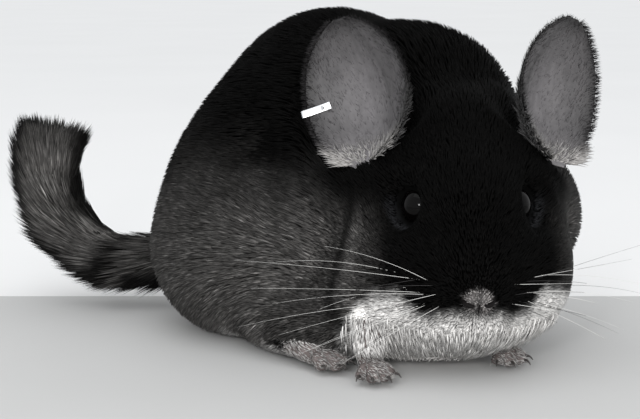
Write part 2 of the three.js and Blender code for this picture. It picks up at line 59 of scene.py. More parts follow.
# Named values shared with part.mjs
HEAD_YAW = math.radians(-37)
HEAD_AT = np.array([10.5, -75.7, 0.0])
EYE_RADIUS = 7.8
EYE_OPENING = np.array([20.6, 1.6, 62.7])
EYE_FACING = np.array([0.83, -0.55, 0.1])
EYE_SUNK = 3.8
EAR_FOOT = np.array([39.4, 21.0, 75.0])
EAR_TIP = np.array([47.3, 36.0, 133.3])
EAR_YAW = math.radians(43)
EAR_INNER, EAR_OUTER = 26.0, 25.0
EAR_ROUND, EAR_BLUNT = 2.1, 0.65  # the powers of its outline
CUP_FOOT, CUP_FALL, EAR_LEAN = 17, 9, 3  # how far its edges come forward, and how far it leans back
EAR_HOLLOW = {"along": 0.62, "behind": 8.0, "radii": (30.0, 13.0, 37.0), "blend": 6.0}
TRUNK = [
    ((38, 33.5, 65.5), (55.5, 65, 70), -4, 0),
    ((17, 47, 50), (55, 38, 49), -14, 26),
    ((-20, 24, 31), (33, 46, 36), 14, 20),
    ((62, 16, 31), (33, 46, 36), -12, 20),
    ((2, -14, 15), (45, 40, 16.5), -10, 14),
    ((-27, -19, 10), (15, 25, 13), 6, 10),
    ((63, -25, 10), (15, 25, 13), -12, 10),
]
NECK = [
    ((40, -17, 79), (46, 35, 51), -30, 0),
    ((35, -34, 50), (62.5, 33, 43), -30, 20),
    ((15, -60.5, 27), (46, 33, 25), -34, 18),
]
HEAD = [
    ((0, 31, 66), (43, 33, 40), 0, 0),
    ((0, 4, 58), (25, 29, 27), 0, 18),
    ((-20, 14, 42), (22, 26, 23), 0, 14),
    ((20, 14, 42), (22, 26, 23), 0, 14),
    ((0, -12, 41), (18.5, 18, 15), 0, 13),
    ((0, -24, 34.5), (7, 6, 6.5), 0, 7),
    ((0, -3, 29), (19, 17, 12), 0, 10),
]
NECK_BLEND, HEAD_BLEND = 24.0, 19.0
SOCKET_RADIUS, SOCKET_PROUD, SOCKET_BLEND = 9.5, 0.2, 6.0
TAIL_PATH = np.array([
    (4, 74, 26), (-24, 90, 20), (-40, 105, 21.5), (-51, 118, 32),
    (-57, 123.5, 48), (-59, 124, 60), (-58, 123, 70),
], float)
TAIL_COAT = np.array([15, 15.5, 17, 18.5, 19, 19, 18], float)
FORE_TOES = [(-38, 10, 1.9), (-12, 12.5, 2.0), (14, 12.5, 2.0), (42, 10, 1.9)]
HIND_TOES = [(-26, 12, 2.2), (-2, 15, 2.5), (22, 14, 2.4)]
FORE = {
    "right": {"top": (-16, -50, 26), "wrist": (-27.5, -62.5, 6.5), "heading": -26},
    "left": {"top": (31, -66, 26), "wrist": (25.5, -79.5, 6.5), "heading": -12},
}
HIND = {
    "right": {"top": (-33, -4, 9), "wrist": (-34.5, -37, 5), "heading": 4},
    "left": {"top": (66, -6, 9), "wrist": (66, -40, 5), "heading": -12},
}
GAP = 0.3
EAR_MIDDLE = 1.5  # the thickness of its middle
TAG = {"along": 0.44, "rise": 0.11, "length": 8.2, "width": 2.9, "thickness": 0.6, "pin": 0.7}
SIDES = {"right": -1.0, "left": 1.0}

# The photo's right and its way in, along the floor
RIGHT = np.array([0.766, -0.643, 0.0])
AWAY = np.array([0.643, 0.766, 0.0])
UP = (0, 0, 1)

rng = np.random.default_rng(11)


def turn_z(angle):
    """The matrix that turns row vectors about z."""
    c, s = math.cos(angle), math.sin(angle)
    return np.array([[c, s, 0.0], [-s, c, 0.0], [0.0, 0.0, 1.0]])


HEAD_TURN = turn_z(HEAD_YAW)


def in_head(q):
    """Points of the head's frame, x to its left, y backwards and z up, in the model's frame."""
    return HEAD_AT + np.asarray(q, float) @ HEAD_TURN


def to_head(p):
    """Points of the model's frame in the head's frame."""
    return (p - HEAD_AT) @ HEAD_TURN.T


def unit(v):
    return v / (np.linalg.norm(v, axis=-1, keepdims=True) + 1e-9)


def smoothstep(low, high, x):
    t = np.clip((x - low) / (high - low), 0, 1)
    return t * t * (3 - 2 * t)


def mix(a, b, t):
    t = np.asarray(t)[..., None] if np.ndim(a) > np.ndim(t) or np.ndim(b) > np.ndim(t) else t
    return a + (b - a) * t


def oval(q, radii):
    """Distance to an ellipsoid: with k0 = |q/r| and k1 = |q/r^2| it is k0 (k0 - 1) / k1."""
    r = np.asarray(radii, float)
    k0 = np.linalg.norm(q / r, axis=-1)
    k1 = np.linalg.norm(q / (r * r), axis=-1) + 1e-9
    return k0 * (k0 - 1) / k1


def smooth_min(a, b, k):
    """The smaller of two distances, rounded off over the width k."""
    h = np.maximum(k - np.abs(a - b), 0) / k
    return np.minimum(a, b) - h * h * k / 4


def blended(p, shapes, turned):
    """The ovals of a list run together, each over its own blend."""
    d = None
    for centre, radii, yaw, blend in shapes:
        if turned:
            q = to_head(p) - np.array(centre, float)
        else:
            q = (p - np.array(centre, float)) @ turn_z(math.radians(yaw)).T
        one = oval(q, radii)
        d = one if d is None else smooth_min(d, one, blend)
    return d


EAR_AXIS = EAR_TIP - EAR_FOOT
EAR_ALONG = unit(EAR_AXIS)
EAR_ACROSS = np.array([math.cos(EAR_YAW), math.sin(EAR_YAW), 0.05])
EAR_ACROSS = unit(EAR_ACROSS - EAR_ALONG * (EAR_ACROSS @ EAR_ALONG))
EAR_FRONT = np.cross(EAR_ACROSS, EAR_ALONG)
EAR_FRONT = EAR_FRONT if EAR_FRONT[1] < 0 else -EAR_FRONT
HOLLOW_AT = EAR_FOOT + EAR_AXIS * EAR_HOLLOW["along"] - EAR_FRONT * EAR_HOLLOW["behind"]
EAR_BASIS = np.stack([EAR_ACROSS, EAR_FRONT, EAR_ALONG], 1)


def eye_opening(side):
    return in_head(EYE_OPENING * (side, 1, 1))


def eye_facing(side):
    return unit((EYE_FACING * (side, 1, 1)) @ HEAD_TURN)


def body_field(p):
    """Distance to the coat's outer surface: trunk and neck run together, then the head, less a hollow behind each
    ear and a shallow dish round each eye."""
    d = smooth_min(blended(p, TRUNK, False), blended(p, NECK, False), NECK_BLEND)
    d = smooth_min(d, blended(p, HEAD, True), HEAD_BLEND)
    q = to_head(p)
    for side in SIDES.values():
        hollow = oval((q * (side, 1, 1) - HOLLOW_AT) @ EAR_BASIS, EAR_HOLLOW["radii"])
        d = -smooth_min(-d, hollow, EAR_HOLLOW["blend"])
    for side in SIDES.values():
        at = eye_opening(side) + eye_facing(side) * (SOCKET_RADIUS - SOCKET_PROUD)
        d = -smooth_min(-d, np.linalg.norm(p - at, axis=-1) - SOCKET_RADIUS, SOCKET_BLEND)
    return d


def slope(field, p, step=0.4):
    """The field's gradient by differences to both sides."""
    return np.stack([field(p + e) - field(p - e) for e in np.eye(3) * step], -1) / (2 * step)


def noise(p, size, seed):
    """Value noise from 0 to 1: random values on a lattice of the given size, blended across each cell."""
    q = p / size + seed * 17.3
    cell = np.floor(q).astype(np.int64)
    f = q - cell
    f = f * f * (3 - 2 * f)
    total = np.zeros(len(p))
    for corner in np.ndindex(2, 2, 2):
        c = cell + corner
        h = (c[:, 0] * 73856093) ^ (c[:, 1] * 19349663) ^ (c[:, 2] * 83492791) ^ (seed * 2654435761)
        h = (h ^ (h >> 13)) * 1274126177 & 0x7FFFFFFF
        weight = np.prod(np.where(np.array(corner) == 1, f, 1 - f), axis=1)
        total += weight * ((h ^ (h >> 16)) & 0xFFFF) / 65535.0
    return total


# From this file's millimetres to the row frame's: the left eyeball's centre here and there
EYE_CENTRE = np.add(*[np.array(c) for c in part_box("eye_left")]) * 500.0
SHIFT = EYE_CENTRE - (eye_opening(1) - eye_facing(1) * EYE_SUNK)


# The coat's depth
NOSE = in_head((0, -29, 34))
BODY_COAT = 5.2
FACE_LESS, EYE_LESS, NOSE_LESS = 2.9, 1.5, 1.4
LEAST_COAT = 0.45


def face_share(p):
    """1 on the face, 0 behind the ears."""
    q = to_head(p)
    return 1 - smoothstep(0, 36, q[..., 1] - 0.15 * (q[..., 2] - 50))


def near_eye(p, reach):
    """1 at an eye's opening, falling to 0 at the given distance."""
    d = np.minimum(*[np.linalg.norm(p - eye_opening(s), axis=-1) for s in SIDES.values()])
    return 1 - smoothstep(5, reach, d)


def coat_depth(p):
    """The coat is deep on the body, thinner on the face, and a velvet round the eyes and nose."""
    depth = BODY_COAT - FACE_LESS * face_share(p)
    depth = depth - EYE_LESS * near_eye(p, 16)
    nose = 1 - smoothstep(5, 16, np.linalg.norm(p - NOSE, axis=-1))
    return np.maximum(depth - NOSE_LESS * nose, LEAST_COAT)


def skin_field(p):
    return body_field(p) + coat_depth(p)


def surface_net(field, low, high, step):
    """A closed quad surface where the field is zero. Each lattice cell that the surface crosses gets a vertex at the
    mean of the crossings on its edges, each crossed lattice edge joins the four cells round it, and vertices then
    slide down the field's slope onto the surface."""
    axes = [np.arange(a, b + step, step) for a, b in zip(low, high)]
    shape = tuple(len(a) for a in axes)
    value = np.empty(shape)
    for i, x in enumerate(axes[0]):
        yy, zz = np.meshgrid(axes[1], axes[2], indexing="ij")
        value[i] = field(np.stack([np.full(yy.shape, x), yy, zz], -1).reshape(-1, 3)).reshape(yy.shape)
    inside = value < 0
    cells = tuple(n - 1 for n in shape)
    total = np.zeros(cells + (3,))
    count = np.zeros(cells)
    for axis in range(3):
        others = [a for a in range(3) if a != axis]
        for u, v in np.ndindex(2, 2):
            take = [slice(0, n) for n in cells]
            take[others[0]] = slice(u, cells[others[0]] + u)
            take[others[1]] = slice(v, cells[others[1]] + v)
            near = tuple(take)
            take[axis] = slice(1, cells[axis] + 1)
            far = tuple(take)
            crossed = inside[near] != inside[far]
            t = value[near] / np.where(crossed, value[near] - value[far], 1)
            at = np.zeros(cells + (3,))
            at[..., axis] = t
            at[..., others[0]] = u
            at[..., others[1]] = v
            total += at * crossed[..., None]
            count += crossed
    used = count > 0
    number = np.full(cells, -1)
    number[used] = np.arange(used.sum())
    where = np.argwhere(used)
    p = (where + total[used] / count[used][:, None]) * step + np.array([a[0] for a in axes])
    quads = []
    for axis in range(3):
        b, c = [(1, 2), (2, 0), (0, 1)][axis]
        near = [slice(1, -1)] * 3
        near[axis] = slice(0, -1)
        far = [slice(1, -1)] * 3
        far[axis] = slice(1, None)
        crossed = inside[tuple(near)] != inside[tuple(far)]
        start = np.argwhere(crossed)
        start[:, b] += 1
        start[:, c] += 1
        outward = inside[tuple(near)][crossed]
        corners = []
        for db, dc in ((1, 1), (0, 1), (0, 0), (1, 0)):
            cell = start.copy()
            cell[:, b] -= db
            cell[:, c] -= dc
            corners.append(number[tuple(cell.T)])
        quad = np.stack(corners, 1)
        quad[~outward] = quad[~outward][:, ::-1]
        quads.append(quad)
    for _ in range(3):
        g = slope(field, p)
        p = p - field(p)[:, None] * g / (np.sum(g * g, 1, keepdims=True) + 1e-6)
    return p, np.concatenate(quads)


# Meshes
def mesh_object(name, points, faces, smooth=True, colour=None, uv=None):
    """Faces are rows of point numbers of one length; points are in millimetres before the shift."""
    mesh = bpy.data.meshes.new(name)
    n, k = faces.shape
    mesh.vertices.add(len(points))
    mesh.vertices.foreach_set("co", ((points + SHIFT) * 0.001).astype(np.float32).ravel())
    mesh.loops.add(n * k)
    mesh.loops.foreach_set("vertex_index", faces.astype(np.int32).ravel())
    mesh.polygons.add(n)
    mesh.polygons.foreach_set("loop_start", (np.arange(n) * k).astype(np.int32))
    mesh.update(calc_edges=True)
    mesh.polygons.foreach_set("use_smooth", np.full(n, smooth))
    if colour is not None:
        rgba = np.concatenate([colour, np.ones((len(points), 1))], 1)
        layer = mesh.color_attributes.new("Coat", "FLOAT_COLOR", "POINT")
        layer.data.foreach_set("color", rgba.astype(np.float32).ravel())
    if uv is not None:
        layer = mesh.uv_layers.new(name="OFBake")
        layer.data.foreach_set("uv", uv[faces.ravel()].astype(np.float32).ravel())
    mesh.validate()
    obj = bpy.data.objects.new(name, mesh)
    bpy.context.scene.collection.objects.link(obj)
    return obj


def triangles(faces):
    """Quads split along one diagonal; triangles as they are."""
    if faces.shape[1] == 3:
        return faces
    return np.concatenate([faces[:, [0, 1, 2]], faces[:, [0, 2, 3]]])


def merged(parts):
    """Several (points, triangles) as one."""
    points, faces, start = [], [], 0
    for p, f in parts:
        points.append(p)
        faces.append(triangles(f) + start)
        start += len(p)
    return np.concatenate(points), np.concatenate(faces)


def tube(path, radii, sides, up):
    """A closed tube: an oval ring of (across, thick) radii round each point of the path, and pointed ends."""
    path = np.asarray(path, float)
    radii = np.asarray(radii, float)
    n = len(path)
    along = unit(np.gradient(path, axis=0))
    across = unit(np.cross(along, np.asarray(up, float)))
    out = np.cross(across, along)
    a = np.arange(sides) / sides * 2 * math.pi
    ring = across[:, None] * np.cos(a)[None, :, None] * radii[:, :1, None]
    ring = ring + out[:, None] * np.sin(a)[None, :, None] * radii[:, 1:, None]
    points = np.concatenate([(path[:, None] + ring).reshape(-1, 3), path[:1], path[-1:]])
    i = np.repeat(np.arange(n - 1), sides) * sides
    j = np.tile(np.arange(sides), n - 1)
    k = (j + 1) % sides
    quads = np.stack([i + j, i + sides + j, i + sides + k, i + k], 1)
    j = np.arange(sides)
    k = (j + 1) % sides
    start = np.stack([np.full(sides, n * sides), j, k], 1)
    end = np.stack([np.full(sides, n * sides + 1), (n - 1) * sides + k, (n - 1) * sides + j], 1)
    return points, np.concatenate([triangles(quads), start, end])


def curve(points, count):
    """A smooth path through points (Catmull-Rom), sampled evenly by parameter; any number of columns."""
    p = np.asarray(points, float)
    p = np.concatenate([[2 * p[0] - p[1]], p, [2 * p[-1] - p[-2]]])
    t = np.linspace(0, len(p) - 3 - 1e-6, count)
    i = t.astype(int)
    f = (t - i)[:, None]
    a, b, c, d = p[i], p[i + 1], p[i + 2], p[i + 3]
    return 0.5 * (2 * b + (c - a) * f + (2 * a - 5 * b + 4 * c - d) * f**2 + (3 * b - a - 3 * c + d) * f**3)


def scatter(points, faces, per_mm2, seed):
    """Random places on a surface, per_mm2(place) of them to a square millimetre, and their face normals."""
    local = np.random.default_rng(seed)
    f = triangles(faces)
    a, b, c = points[f[:, 0]], points[f[:, 1]], points[f[:, 2]]
    n = np.cross(b - a, c - a)
    area = np.linalg.norm(n, axis=1) / 2
    wanted = area * per_mm2((a + b + c) / 3)
    number = np.floor(wanted + local.random(len(f))).astype(int)
    pick = np.repeat(np.arange(len(f)), number)
    u, v = local.random((2, len(pick)))
    flip = u + v > 1
    u, v = np.where(flip, 1 - u, u), np.where(flip, 1 - v, v)
    at = a[pick] + (b[pick] - a[pick]) * u[:, None] + (c[pick] - a[pick]) * v[:, None]
    return at, unit(n[pick])


def unwrap(p):
    """The skin's own unwrap: angles round the middle of trunk, head or tail, each in a field of its own."""
    q = to_head(p)
    is_head = (np.abs(q[:, 0]) < 50) & (q[:, 1] < 34)
    is_tail = (p[:, 1] > 78) & (p[:, 0] < -12) & ~is_head
    v = np.where(is_head[:, None], q - (0, 12, 50), p - (22, 10, 55))
    a = np.arctan2(v[:, 0], v[:, 1]) / (2 * math.pi) + 0.5
    b = np.arctan2(v[:, 2], np.hypot(v[:, 0], v[:, 1])) / math.pi + 0.5
    tail = p - (-45, 110, 40)
    a = np.where(is_tail, np.arctan2(tail[:, 0] + tail[:, 1], tail[:, 2]) / (2 * math.pi) + 0.5, a)
    b = np.where(is_tail, np.clip((tail[:, 0] - tail[:, 1]) / 90 + 0.5, 0, 1), b)
    left = np.where(is_head, 0.56, np.where(is_tail, 0.56, 0.01))
    low = np.where(is_head, 0.51, 0.01)
    wide = np.where(is_head | is_tail, 0.42, 0.53)
    high = np.where(is_head | is_tail, 0.47, 0.97)
    return np.stack([left + a * wide, low + b * high], 1)


SHADE = (0.55, 0.9)  # a tuft's colour at its root and middle, against its own
TUFT_POINTS, TUFT_FACES = 7, 10
LOWEST_HAIR = 0.15
PATCH_RADIUS = 0.0014  # of a tuft's place on the bake map


def tufts(root, out, lie, length, height, width, colour, tip=1.12, rise=2.2):
    """Closed tapered tufts of three sides. Along s from 0 to 1 a tuft lies over by length s^1.25 and climbs by
    height (1 - (1 - s)^rise), widest near its middle. Gives points, triangles, colours and bake patches."""
    n = len(root)
    side = unit(np.cross(lie, out))
    lean = unit(lie + out * 0.35)
    thick = np.cross(side, lean)
    s = np.array([0.0, 0.42, 1.0])
    grow = np.array([0.75, 1.0, 0.0])
    points = np.zeros((n, TUFT_POINTS, 3))
    for i in range(3):
        climb = height * (1 - (1 - s[i]) ** rise)
        at = root + lie * (length * s[i] ** 1.25)[:, None] + out * climb[:, None]
        if i == 2:
            points[:, 6] = at
            continue
        w = (width * grow[i] / 2)[:, None]
        points[:, 3 * i] = at - side * w
        points[:, 3 * i + 1] = at + side * w
        points[:, 3 * i + 2] = at + thick * w * 0.7
    points[..., 2] = np.maximum(points[..., 2], LOWEST_HAIR)
    shade = np.stack([np.full(n, SHADE[0])] * 3 + [np.full(n, SHADE[1])] * 3 + [np.broadcast_to(tip, n)], 1)
    pale = smoothstep(0.2, 0.6, colour.mean(1))[:, None]
    tint = colour[:, None] * (shade + (1 - shade) * 0.75 * pale)[..., None]
    face = np.array([
        (0, 2, 1), (0, 1, 4), (0, 4, 3), (1, 2, 5), (1, 5, 4),
        (2, 0, 3), (2, 3, 5), (3, 4, 6), (4, 5, 6), (5, 3, 6),
    ])
    faces = (face[None] + TUFT_POINTS * np.arange(n)[:, None, None]).reshape(-1, 3)
    a = np.arange(TUFT_POINTS) * 2.4
    patch = np.stack([np.cos(a), np.sin(a)], 1) * PATCH_RADIUS
    uv = unwrap(root)[:, None] + patch[None]
    return points.reshape(-1, 3), faces, tint.reshape(-1, 3), uv.reshape(-1, 2)


MOST_TUFTS = 19000


def coat_objects(name, made):
    """Splits tufts into pieces of at most MOST_TUFTS tufts; each rides on the root and wears the coat's material.
    Splits tufts into pieces below the limit of triangles; each rides on the root.
    """
    points, faces, tint, uv = made
    count = len(points) // TUFT_POINTS
    pieces = math.ceil(count / MOST_TUFTS)
    for i in range(pieces):
        a, b = count * i // pieces, count * (i + 1) // pieces
        rows = slice(TUFT_POINTS * a, TUFT_POINTS * b)
        mine = faces[TUFT_FACES * a:TUFT_FACES * b] - TUFT_POINTS * a
        title = f"{name}_{i + 1}" if pieces > 1 else name
        obj = mesh_object(title, points[rows], mine, colour=tint[rows], uv=uv[rows])
        obj.data.materials.append(coat_look)
        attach(obj, "root")


# Markings, with painted light: shade and a highlight at a crease beside the neck, and shade down the nose's cleft
GREY = np.array([1.04, 1.0, 0.965])
WHITE = np.array([0.88, 0.865, 0.85])
NOSE_PAD = np.array([0.3, 0.285, 0.28])
EYE_ARC = np.array([0.05, 0.052, 0.058])
BLACK = 0.0028


def markings_and_painted_light(p, out):
    """The coat's colour: velvet black over the back, nape and face, a dark grey flank that pales towards the belly,
    white chin and chest, a pale pad round the nostrils with painted shade down its cleft, painted shade in a crease
    beside the neck with a painted highlight on its head side, and a faint arc under each eye."""
    q = to_head(p)
    x, y, z = np.abs(q[:, 0]), q[:, 1], q[:, 2]
    wave = noise(p, 14, 1) - 0.5
    fine = noise(p, 5, 2) - 0.5
    level = p[:, 2] + 12 * wave + 5 * fine
    heights = [0, 6, 14, 28, 46, 62, 78, 94]
    greys = [0.34, 0.2, 0.1, 0.09, 0.07, 0.034, 0.009, BLACK]
    grey = np.interp(level, heights, greys)
    in_face = face_share(p)
    mask_edge = np.interp(x, [0, 17, 26, 33, 42, 50], [26, 25.5, 33, 31, 24, 14])
    mask_edge = mask_edge + 3 * wave + 3 * fine
    mask = smoothstep(-3.5, 3.5, z - mask_edge)
    cheek = smoothstep(28, 42, x) * (1 - smoothstep(46, 68, z)) * 0.05
    face = np.where(mask > 0, BLACK + cheek, BLACK)
    nape = smoothstep(58, 80, z) * (y < 60)
    grey = mix(grey, face, smoothstep(0.1, 0.55, in_face + 0.5 * nape))
    colour = grey[:, None] * GREY
    chest = (1 - mask) * smoothstep(0.05, 0.4, in_face) * smoothstep(49, 42, x)
    throat = (1 - smoothstep(8, 16, level)) * smoothstep(12, -4, y) * smoothstep(50, 42, x)
    colour = mix(colour, WHITE, np.clip(np.maximum(chest, throat), 0, 1))
    under = smoothstep(0.35, 0.85, -out[:, 2]) * (1 - smoothstep(3, 9, level))
    colour = mix(colour, WHITE * 0.7, under)
    from_pad = np.linalg.norm((q - (0, -28, 33)) * (0.85, 0.7, 1.1), axis=1)
    nose = 1 - smoothstep(3.6, 6.2, from_pad + 2.5 * fine)
    # Painted shade: the pad is darker down its midline cleft
    cleft = 0.45 + 0.55 * smoothstep(0.4, 1.6, x)
    colour = mix(colour, NOSE_PAD * cleft[:, None], nose)
    # Painted shade and highlight: a dark streak along a crease beside the neck on the animal's right, and a lighter
    # streak next to it on the head side
    beside = (q[:, 0] < -38) * smoothstep(74, 60, z)
    painted_crease = y + 4 - 0.43 * (z - 16) + 2 * wave
    colour = colour * (1 - 0.7 * beside * np.exp(-(painted_crease / 2.4) ** 2))[:, None]
    colour = colour * (1 + 0.9 * beside * np.exp(-((painted_crease + 6) / 2.8) ** 2))[:, None]
    for side in SIDES.values():
        v = q - EYE_OPENING * (side, 1, 1)
        ring = np.linalg.norm(v, axis=1)
        arc = np.exp(-((ring - 9.2) / 1.5) ** 2) * smoothstep(2, -5, v[:, 2] - 0.5 * v[:, 1])
        colour = mix(colour, EYE_ARC, 0.3 * arc)
    return colour


def lie_of(p, out):
    """The coat lies away from the nose on the head, back and down along the body, and outwards round the eyes."""
    q = to_head(p)
    from_nose = unit(p - in_head((0, -33, 29)))
    back = unit(np.array([-0.05, 1.0, -0.42]) + 0 * p)
    w = smoothstep(20, 62, q[:, 1])
    d = mix(from_nose, back, w)
    low = 1 - smoothstep(10, 34, p[:, 2])
    d = d + np.array([0, 0.1, -0.9]) * (low * smoothstep(-10, 30, q[:, 1]))[:, None]
    for side in SIDES.values():
        v = p - eye_opening(side)
        near = 1 - smoothstep(6, 15, np.linalg.norm(v, axis=1))
        d = d * (1 - 0.75 * near)[:, None] + unit(v) * (0.75 * near)[:, None]
    swirl = np.stack([noise(p, 18, 5), noise(p, 18, 6), noise(p, 18, 7)], 1) - 0.5
    local = np.stack([noise(p, 4.5, 8), noise(p, 4.5, 9), noise(p, 4.5, 10)], 1) - 0.5
    d = d + 0.35 * swirl + 0.24 * local
    d = d - out * np.sum(d * out, 1, keepdims=True)
    return unit(d)


# Materials
def shader(name, colour, roughness, **sockets):
    material = bpy.data.materials.new(name)
    material.use_nodes = True
    principled = material.node_tree.nodes["Principled BSDF"]
    principled.inputs["Base Color"].default_value = (*colour, 1)
    principled.inputs["Roughness"].default_value = roughness
    for key, value in sockets.items():
        principled.inputs[key.replace("_", " ")].default_value = value
    return material


def speckle_group():
    """A node group that lightens and darkens a colour by noise in object coordinates."""
    group = bpy.data.node_groups.new("Speckle", "ShaderNodeTree")
    group.interface.new_socket("Color", in_out="INPUT", socket_type="NodeSocketColor")
    group.interface.new_socket("Scale", in_out="INPUT", socket_type="NodeSocketFloat")
    group.interface.new_socket("Amount", in_out="INPUT", socket_type="NodeSocketFloat")
    group.interface.new_socket("Color", in_out="OUTPUT", socket_type="NodeSocketColor")
    nodes, links = group.nodes, group.links
    given = nodes.new("NodeGroupInput")
    result = nodes.new("NodeGroupOutput")
    where = nodes.new("ShaderNodeTexCoord")
    grain = nodes.new("ShaderNodeTexNoise")
    grain.inputs["Detail"].default_value = 3
    spread = nodes.new("ShaderNodeMapRange")
    spread.inputs["From Min"].default_value = 0.3
    spread.inputs["From Max"].default_value = 0.7
    spread.inputs["To Min"].default_value = -1
    spread.inputs["To Max"].default_value = 1
    scaled = nodes.new("ShaderNodeMath")
    scaled.operation = "MULTIPLY_ADD"
    scaled.inputs[2].default_value = 1
    times = nodes.new("ShaderNodeVectorMath")
    times.operation = "SCALE"
    links.new(where.outputs["Object"], grain.inputs["Vector"])
    links.new(given.outputs["Scale"], grain.inputs["Scale"])
    links.new(grain.outputs[0], spread.inputs["Value"])
    links.new(spread.outputs["Result"], scaled.inputs[0])
    links.new(given.outputs["Amount"], scaled.inputs[1])
    links.new(given.outputs["Color"], times.inputs[0])
    links.new(scaled.outputs[0], times.inputs["Scale"])
    links.new(times.outputs[0], result.inputs[0])
    return group


SPECKLE = speckle_group()


def speckled(material, scale, amount, attribute=None):
    """Feeds the base colour from the mesh's own Coat attribute, or a plain colour, through the Speckle group."""
    tree = material.node_tree
    principled = tree.nodes["Principled BSDF"]
    grain = tree.nodes.new("ShaderNodeGroup")
    grain.node_tree = SPECKLE
    grain.inputs["Scale"].default_value = scale
    grain.inputs["Amount"].default_value = amount
    if attribute:
        source = tree.nodes.new("ShaderNodeAttribute")
        source.attribute_name = attribute
        tree.links.new(source.outputs["Color"], grain.inputs["Color"])
    else:
        grain.inputs["Color"].default_value = principled.inputs["Base Color"].default_value[:]
    tree.links.new(grain.outputs[0], principled.inputs["Base Color"])
    return material


def bumped(material, scale, strength, distance):
    """Adds a fine bump from noise in object coordinates."""
    tree = material.node_tree
    where = tree.nodes.new("ShaderNodeTexCoord")
    grain = tree.nodes.new("ShaderNodeTexNoise")
    grain.inputs["Scale"].default_value = scale
    grain.inputs["Detail"].default_value = 4
    bump = tree.nodes.new("ShaderNodeBump")
    bump.inputs["Strength"].default_value = strength
    bump.inputs["Distance"].default_value = distance
    tree.links.new(where.outputs["Object"], grain.inputs["Vector"])
    tree.links.new(grain.outputs[0], bump.inputs["Height"])
    tree.links.new(bump.outputs[0], tree.nodes["Principled BSDF"].inputs["Normal"])
    return material


DARK_FUR = (0.05, 0.05, 0.05)
coat_look = speckled(shader("coat", DARK_FUR, 0.6, Specular_IOR_Level=0.035), 260, 0.25, "Coat")
skin_look = speckled(shader("skin", DARK_FUR, 0.8, Specular_IOR_Level=0.03), 300, 0.4, "Coat")
skin_look = bumped(skin_look, 700, 0.6, 0.0006)
ear_look = shader("ear", (0.2, 0.19, 0.2), 0.55, Sheen_Weight=0.1, Sheen_Roughness=0.4)
ear_look = bumped(speckled(ear_look, 420, 0.1, "Coat"), 1100, 0.2, 0.0002)
eye_look = shader("eye", (0.0015, 0.0012, 0.0012), 0.05, Specular_IOR_Level=0.16, IOR=1.4)
lid_look = bumped(shader("lid", (0.008, 0.0075, 0.0075), 0.4), 1500, 0.4, 0.0001)
claw_look = shader("claw", (0.035, 0.03, 0.028), 0.35)
tag_look = bumped(shader("tag", (0.75, 0.76, 0.78), 0.28, Metallic=1.0), 800, 0.15, 0.0001)
pale_whisker = shader("pale whisker", (0.8, 0.79, 0.77), 0.35)
dark_whisker = shader("dark whisker", (0.02, 0.018, 0.018), 0.35)


def put(obj, material, slot, *nodes):
    obj.data.materials.append(material)
    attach(obj, "root")
    if nodes:
        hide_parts(*nodes)


# The skin: body and tail core, with the feet joined in
SKIN_LOW, SKIN_HIGH, SKIN_STEP = (-66, -132, -3), (104, 104, 140), 1.9
skin_points, skin_quads = surface_net(skin_field, SKIN_LOW, SKIN_HIGH, SKIN_STEP)
skin_points[:, 2] = np.maximum(skin_points[:, 2], 0.5)
skin_normal = unit(slope(skin_field, skin_points))
skin_colour = markings_and_painted_light(skin_points, skin_normal)
skin_colour = skin_colour * mix(0.5, 0.9, smoothstep(0.2, 0.6, skin_colour.mean(1)))[:, None]

tail_count = 90
tail_share = np.linspace(0, 1, tail_count)
tail_line = curve(TAIL_PATH, tail_count)
tail_coat = np.interp(tail_share, np.linspace(0, 1, len(TAIL_COAT)), TAIL_COAT)
tail_along = unit(np.gradient(tail_line, axis=0))
TAIL_SIDE = np.array([0.77, -0.64, 0.0])
tail_up = unit(np.cross(tail_along, TAIL_SIDE))
tail_cross = unit(np.cross(tail_up, tail_along))


def tail_shade(round_angle, t):
    """The tail is black along its outer and inner curve and grey between, blacker towards both ends."""
    edge = np.abs(np.cos(round_angle)) ** 1.3
    grey = 0.105 * (1 - 0.88 * smoothstep(0.35, 0.95, edge))
    grey = grey * (1 - 0.55 * smoothstep(0.8, 1.0, t)) * (0.55 + 0.45 * smoothstep(0.1, 0.35, t))
    return grey


core_radius = tail_coat * 0.36 * np.where(tail_share > 0.96, 0.7, 1)
core = tube(tail_line, np.stack([core_radius, core_radius], 1), 20, TAIL_SIDE)


def toe_paths(wrist, heading, toes, height):
    """Each toe leaves the wrist at its own angle, humps over a knuckle and comes down to the floor."""
    for fan, length, thick in toes:
        a = math.radians(heading + fan)
        along = np.array([math.sin(a), -math.cos(a), 0])
        humps = [(0, 1), (0.25, 1.05), (0.5, 0.98), (0.78, 0.74)]
        stations = [(t, height * share) for t, share in humps] + [(0.96, thick * 0.86)]
        path = [np.append((np.array(wrist) + along * t * length)[:2], z) for t, z in stations]
        yield along, np.array(path), thick


